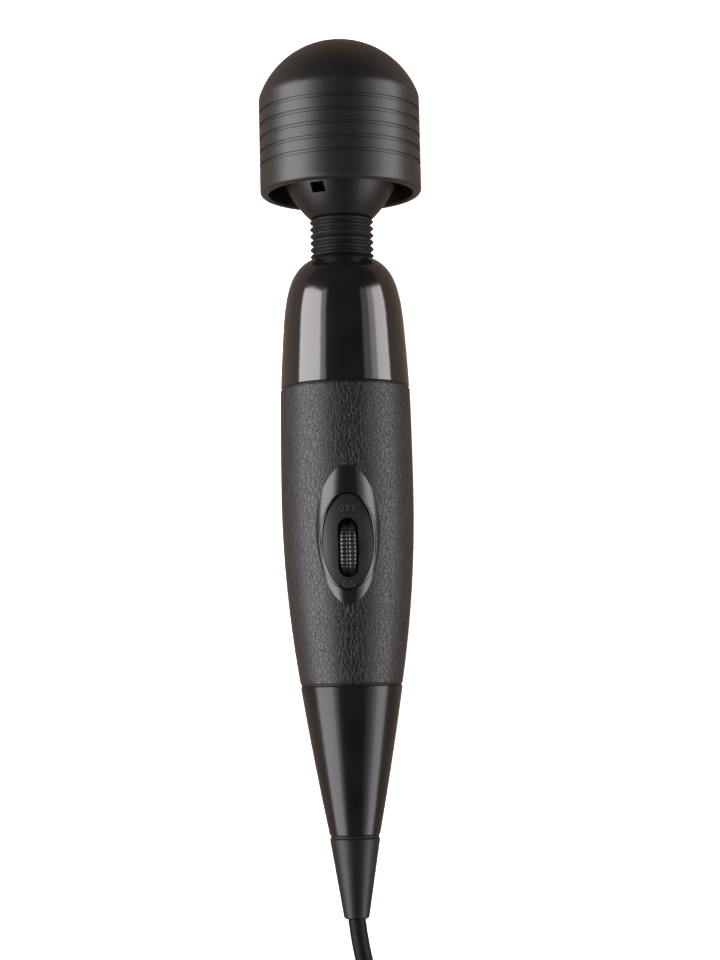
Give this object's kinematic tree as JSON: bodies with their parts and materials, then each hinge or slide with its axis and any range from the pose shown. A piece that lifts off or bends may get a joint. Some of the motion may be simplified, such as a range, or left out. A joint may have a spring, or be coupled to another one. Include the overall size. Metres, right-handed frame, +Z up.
{
  "type": "handheld wand massager",
  "caption": "Corded handheld wand massager: domed vibrating head on a flexible ribbed neck, grained grip with a thumbwheel, conical tail and coiled mains cord.",
  "frame": {"origin": "on the table under the middle of the wand, halfway along its length and its width, with the cord left out", "axes": "+Y along the wand from its tail towards its head, +Z up out of the switch, +X to the right seen from above"},
  "size_m": [0.0968, 0.4693, 0.0626],
  "materials": {
    "soft_touch": "matte soft-touch",
    "core_plastic": "satin",
    "black_rubber": "matte",
    "piano_black": "polished",
    "satin_black": "satin",
    "grip_leather": "fine creased grain",
    "plate_plastic": "fine matte",
    "inner_plastic": "moulded",
    "machined_steel": "machined",
    "spring_steel": "drawn wire",
    "black_screws": "oiled",
    "zinc_sheet": "zinc plated",
    "lamination_steel": "stamped stack",
    "copper_winding": "enamelled copper",
    "carbon": "pressed carbon",
    "circuit_board": "solder mask",
    "component_plastic": "moulded",
    "heat_sink_aluminium": "extruded",
    "wire_insulation": "PVC",
    "cord_jacket": "matte PVC",
    "tie_fabric": "woven strap",
    "plug_metal": "nickel plated"
  },
  "bodies": {
    "handle": {"strain_relief": "core_plastic", "motor_mount_rings": "black_rubber", "front_collar": "piano_black", "switch_bezel": "piano_black", "tail_housing": "satin_black", "grip_sleeve": "grip_leather", "switch_plate": "plate_plastic", "body_shell_upper": "inner_plastic", "body_shell_lower": "inner_plastic", "speed_control": "inner_plastic", "brush_holders": "inner_plastic", "cord_clamp": "inner_plastic", "terminal_block": "inner_plastic", "motor_bearings": "machined_steel", "lower_neck_clamp": "spring_steel", "brush_springs": "spring_steel", "wheel_bracket": "spring_steel", "body_screws": "black_screws", "cord_clamp_screws": "black_screws", "motor_can": "zinc_sheet", "motor_rear_bracket": "zinc_sheet", "motor_front_bracket": "zinc_sheet", "stator_core": "lamination_steel", "field_windings": "copper_winding", "carbon_brushes": "carbon", "control_board": "circuit_board", "suppression_capacitor": "component_plastic", "triac": "component_plastic", "heat_sink": "heat_sink_aluminium", "internal_wires": "wire_insulation", "cord_anchored_end": "cord_jacket", "power_cord_lead": "cord_jacket", "power_cord_coil": "cord_jacket", "plug_body": "cord_jacket", "cord_tie": "tie_fabric", "plug_blades": "plug_metal"},
    "neck_link": {"neck_bellows": "black_rubber", "neck_support_spring": "spring_steel", "flexible_drive_shaft": "spring_steel"},
    "head": {"head_cover": "soft_touch", "head_core": "core_plastic", "head_core_lid": "inner_plastic", "head_lid_screws": "black_screws", "head_bearings": "machined_steel", "upper_neck_clamp": "spring_steel"},
    "eccentric": {"eccentric_shaft": "machined_steel", "eccentric_weight": "machined_steel", "weight_set_screw": "black_screws", "shaft_clips": "spring_steel", "head_drive_coupling": "machined_steel", "head_bearing_inner_races": "machined_steel"},
    "rotor": {"motor_shaft": "machined_steel", "armature_core": "lamination_steel", "armature_windings": "copper_winding", "commutator": "copper_winding", "cooling_fan": "inner_plastic", "motor_bearing_inner_races": "machined_steel", "motor_drive_coupling": "machined_steel"},
    "dial": {"thumbwheel": "plate_plastic", "wheel_axle": "machined_steel"}
  },
  "joints": [
    {"name": "neck_nod", "type": "hinge", "parent": "handle", "child": "neck_link", "pos_m": [0, 0.08479, 0.02948], "axis": [1, 0, 0], "range_deg": [-12, 12], "stiffness_Nm_per_rad": 4, "deforming": ["neck_bellows", "neck_support_spring", "flexible_drive_shaft"]},
    {"name": "neck_sway", "type": "hinge", "parent": "neck_link", "child": "head", "pos_m": [0, 0.09158, 0.02979], "axis": [0, -0.0462, 0.9989], "range_deg": [-12, 12], "stiffness_Nm_per_rad": 4, "deforming": ["neck_bellows", "neck_support_spring", "flexible_drive_shaft"]},
    {"name": "motor_spin", "type": "hinge", "parent": "handle", "child": "rotor", "pos_m": [0, 0.01806, 0.02639], "axis": [0, 0.9989, 0.0462], "continuous": true},
    {"name": "eccentric_spin", "type": "hinge", "parent": "head", "child": "eccentric", "pos_m": [0, 0.12894, 0.03152], "axis": [0, 0.9989, 0.0462], "continuous": true},
    {"name": "dial_turn", "type": "hinge", "parent": "handle", "child": "dial", "pos_m": [0, -0.0305, 0.03746], "axis": [1, 0, 0], "range_deg": [0, 270]}
  ],
  "couplings": [
    {"joint": "eccentric_spin", "follows": "motor_spin", "ratio": 1}
  ]
}
